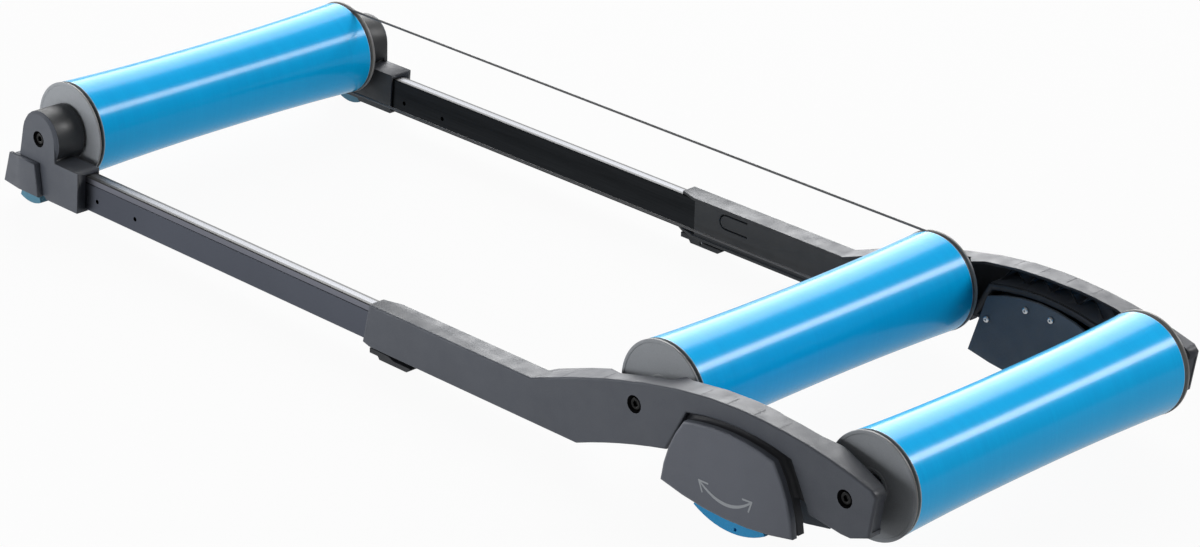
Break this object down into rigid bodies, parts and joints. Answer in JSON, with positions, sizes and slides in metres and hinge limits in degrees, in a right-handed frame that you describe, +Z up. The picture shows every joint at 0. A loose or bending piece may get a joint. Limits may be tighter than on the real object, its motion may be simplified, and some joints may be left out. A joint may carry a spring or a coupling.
{
  "type": "bicycle rollers",
  "caption": "Bicycle training rollers: waisted drums in a frame that slides together, with a drive belt and rocking feet that let the whole frame move fore and aft.",
  "frame": {"origin": "on the floor, under the middle of the object's box", "axes": "+X forward, in the direction that the bicycle faces, +Y to the rider's left, +Z up"},
  "size_m": [1.2748, 0.5, 0.1342],
  "materials": {
    "frame": "fine-grained moulded plastic, mid grey",
    "foot_cover": "fine-grained moulded plastic, mid grey",
    "foot_inside": "fine-grained moulded plastic, dark grey",
    "lever": "moulded plastic, near black",
    "rocker": "satin moulded plastic, blue",
    "drum": "glossy blue anodised, turned",
    "roller_cap": "moulded plastic, warm light grey",
    "rail": "satin anodised extrusion, grey",
    "steel": "bright zinc-plated or ground steel",
    "belt": "round elastic belt, dark grey"
  },
  "bodies": {
    "rear_half": {"left_side_frame": "frame", "right_side_frame": "frame", "left_rear_foot_cover": "foot_cover", "right_rear_foot_cover": "foot_cover", "left_rear_foot_housing": "foot_inside", "right_rear_foot_housing": "foot_inside", "left_rear_foot_plate": "foot_inside", "right_rear_foot_plate": "foot_inside", "left_rear_foot_pin": "steel", "right_rear_foot_pin": "steel", "left_rear_foot_screw_1": "steel", "right_rear_foot_screw_1": "steel", "left_rear_foot_screw_2": "steel", "right_rear_foot_screw_2": "steel", "left_rear_foot_screw_3": "steel", "right_rear_foot_screw_3": "steel", "left_release_lever_pin": "steel", "right_release_lever_pin": "steel", "rear_axle": "steel", "middle_axle": "steel", "left_rear_axle_bolt": "steel", "right_rear_axle_bolt": "steel", "left_middle_axle_bolt": "steel", "right_middle_axle_bolt": "steel", "drive_belt": "belt"},
    "front_half": {"left_rail": "rail", "right_rail": "rail", "left_rail_shoe": "lever", "right_rail_shoe": "lever", "left_front_bracket": "frame", "right_front_bracket": "frame", "left_front_foot_cover": "foot_cover", "right_front_foot_cover": "foot_cover", "left_front_foot_pin": "steel", "right_front_foot_pin": "steel", "front_axle": "steel", "left_front_axle_bolt": "steel", "right_front_axle_bolt": "steel"},
    "rear_roller": {"rear_roller_drum": "drum", "left_rear_roller_cap": "roller_cap", "right_rear_roller_cap": "roller_cap", "left_rear_roller_bearing": "steel", "right_rear_roller_bearing": "steel"},
    "middle_roller": {"middle_roller_drum": "drum", "left_middle_roller_cap": "roller_cap", "right_middle_roller_cap": "roller_cap", "left_middle_roller_bearing": "steel", "right_middle_roller_bearing": "steel"},
    "front_roller": {"front_roller_drum": "drum", "left_front_roller_cap": "roller_cap", "right_front_roller_cap": "roller_cap", "left_front_roller_bearing": "steel", "right_front_roller_bearing": "steel"},
    "left_rear_rocker": {"left_rear_rocker": "rocker"},
    "left_front_rocker": {"left_front_rocker": "rocker"},
    "left_release_lever": {"left_release_lever": "lever"},
    "right_rear_rocker": {"right_rear_rocker": "rocker"},
    "right_front_rocker": {"right_front_rocker": "rocker"},
    "right_release_lever": {"right_release_lever": "lever"}
  },
  "joints": [
    {"name": "frame_slide", "type": "slide", "parent": "rear_half", "child": "front_half", "axis": [1, 0, 0], "range_m": [-0.452, 0], "deforming": ["drive_belt"]},
    {"name": "rear_roller_spin", "type": "hinge", "parent": "rear_half", "child": "rear_roller", "pos_m": [-0.58415, 0, 0.081], "axis": [0, 1, 0], "continuous": true},
    {"name": "middle_roller_spin", "type": "hinge", "parent": "rear_half", "child": "middle_roller", "pos_m": [-0.32015, 0, 0.081], "axis": [0, 1, 0], "continuous": true},
    {"name": "front_roller_spin", "type": "hinge", "parent": "front_half", "child": "front_roller", "pos_m": [0.57785, 0, 0.081], "axis": [0, 1, 0], "continuous": true},
    {"name": "left_rear_rocker_hinge", "type": "hinge", "parent": "rear_half", "child": "left_rear_rocker", "pos_m": [-0.45215, 0.2381, 0.064], "axis": [0, 1, 0], "range_deg": [-12, 12]},
    {"name": "right_rear_rocker_hinge", "type": "hinge", "parent": "rear_half", "child": "right_rear_rocker", "pos_m": [-0.45215, -0.2381, 0.064], "axis": [0, 1, 0], "range_deg": [-12, 12]},
    {"name": "left_front_rocker_hinge", "type": "hinge", "parent": "front_half", "child": "left_front_rocker", "pos_m": [0.59985, 0.233, 0.033], "axis": [0, 1, 0], "range_deg": [-23, 23]},
    {"name": "right_front_rocker_hinge", "type": "hinge", "parent": "front_half", "child": "right_front_rocker", "pos_m": [0.59985, -0.233, 0.033], "axis": [0, 1, 0], "range_deg": [-23, 23]},
    {"name": "left_release_lever_hinge", "type": "hinge", "parent": "rear_half", "child": "left_release_lever", "pos_m": [0.01985, 0.22535, 0.0082], "axis": [0, 1, 0], "range_deg": [0, 5], "stiffness_Nm_per_rad": 1, "springref_deg": -17.19},
    {"name": "right_release_lever_hinge", "type": "hinge", "parent": "rear_half", "child": "right_release_lever", "pos_m": [0.01985, -0.22535, 0.0082], "axis": [0, 1, 0], "range_deg": [0, 5], "stiffness_Nm_per_rad": 1, "springref_deg": -17.19}
  ],
  "couplings": [
    {"joint": "front_roller_spin", "follows": "middle_roller_spin", "ratio": 1}
  ]
}
